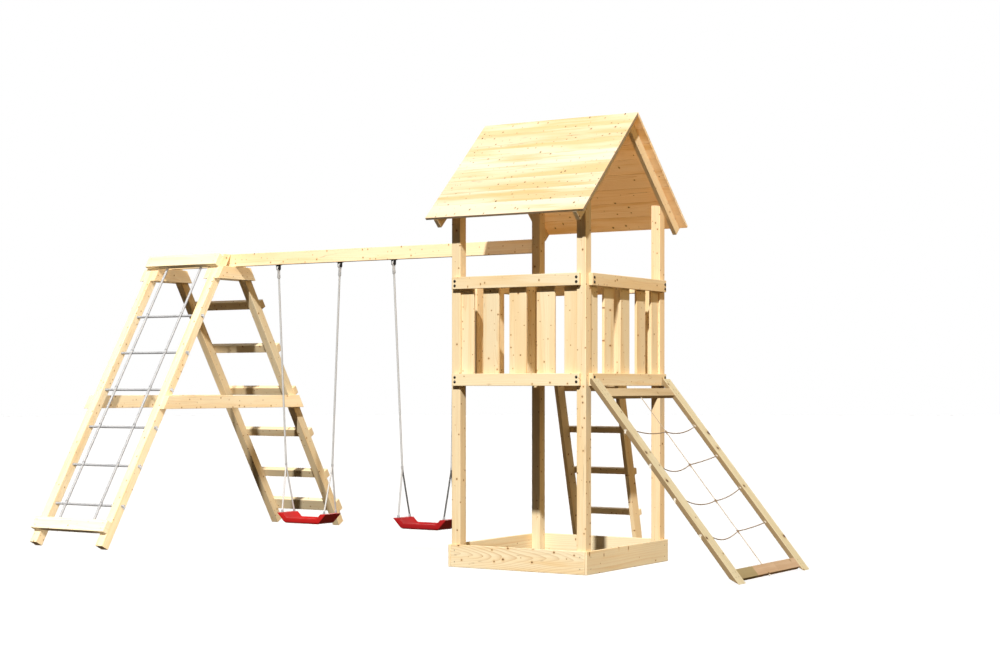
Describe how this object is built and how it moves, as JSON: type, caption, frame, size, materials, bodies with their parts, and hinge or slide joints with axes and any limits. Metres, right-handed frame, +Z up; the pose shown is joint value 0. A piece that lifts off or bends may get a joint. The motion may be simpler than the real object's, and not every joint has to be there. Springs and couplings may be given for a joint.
{
  "type": "play tower",
  "caption": "Timber play tower with gable roof, sandbox, rear ladder and rope ramp, joined by a beam with two swings to a climbing frame with a rope net.",
  "frame": {"origin": "on the ground, under the middle of the whole object's box", "axes": "+X along the swing beam from the climbing frame to the tower and its ramp, +Y from the front with the climbing net to the rear with the ladder, +Z up"},
  "size_m": [5.7536, 2.742, 2.9838],
  "materials": {
    "spruce": "planed untreated spruce, pale with small knots",
    "treated_wood": "planed pressure-treated pine, slightly green",
    "hemp_rope": "twisted natural fibre",
    "grey_rope": "twisted synthetic fibre, matt",
    "red_plastic": "moulded, satin gloss",
    "black_steel": "black powder coat"
  },
  "bodies": {
    "frame": {"post_front_left": "spruce", "post_front_right": "spruce", "post_rear_right": "spruce", "post_rear_left": "spruce", "front_fence": "spruce", "right_fence": "spruce", "left_fence": "spruce", "rear_top_rail": "spruce", "rear_low_rail": "spruce", "rear_planks": "spruce", "sandbox_front": "spruce", "sandbox_rear": "spruce", "sandbox_left": "spruce", "sandbox_right": "spruce", "deck": "spruce", "roof_front": "spruce", "roof_rear": "spruce", "rafters_left": "spruce", "rafters_right": "spruce", "ladder_stile_left": "spruce", "ladder_stile_right": "spruce", "ladder_rung_1": "spruce", "ladder_rung_2": "spruce", "ladder_rung_3": "spruce", "ladder_rung_4": "spruce", "ramp_stile_front": "treated_wood", "ramp_stile_rear": "treated_wood", "ramp_board_top": "treated_wood", "ramp_board_bottom": "treated_wood", "ramp_net": "hemp_rope", "swing_beam": "spruce", "leg_front_near": "spruce", "leg_front_far": "spruce", "leg_rear_near": "spruce", "leg_rear_far": "spruce", "frame_tie_1": "spruce", "frame_tie_2": "spruce", "frame_tie_3": "spruce", "frame_tie_4": "spruce", "crossbar_near": "spruce", "crossbar_far": "spruce", "frame_board_top": "spruce", "frame_board_bottom": "spruce", "frame_rung_1": "spruce", "frame_rung_2": "spruce", "frame_rung_3": "spruce", "frame_rung_4": "spruce", "frame_rung_5": "spruce", "frame_step": "spruce", "climbing_net": "grey_rope", "hanger_1_left": "black_steel", "hanger_1_right": "black_steel", "hanger_2_left": "black_steel", "hanger_2_right": "black_steel"},
    "swing_1": {"seat_1": "red_plastic", "rope_1_left": "grey_rope", "rope_1_right": "grey_rope"},
    "swing_2": {"seat_2": "red_plastic", "rope_2_left": "grey_rope", "rope_2_right": "grey_rope"}
  },
  "joints": [
    {"name": "swing_1_hinge", "type": "hinge", "parent": "frame", "child": "swing_1", "pos_m": [-1.301, 0, 2.1062], "axis": [1, 0, 0], "range_deg": [-60, 60]},
    {"name": "swing_2_hinge", "type": "hinge", "parent": "frame", "child": "swing_2", "pos_m": [-0.181, 0, 2.1062], "axis": [1, 0, 0], "range_deg": [-60, 60]}
  ]
}
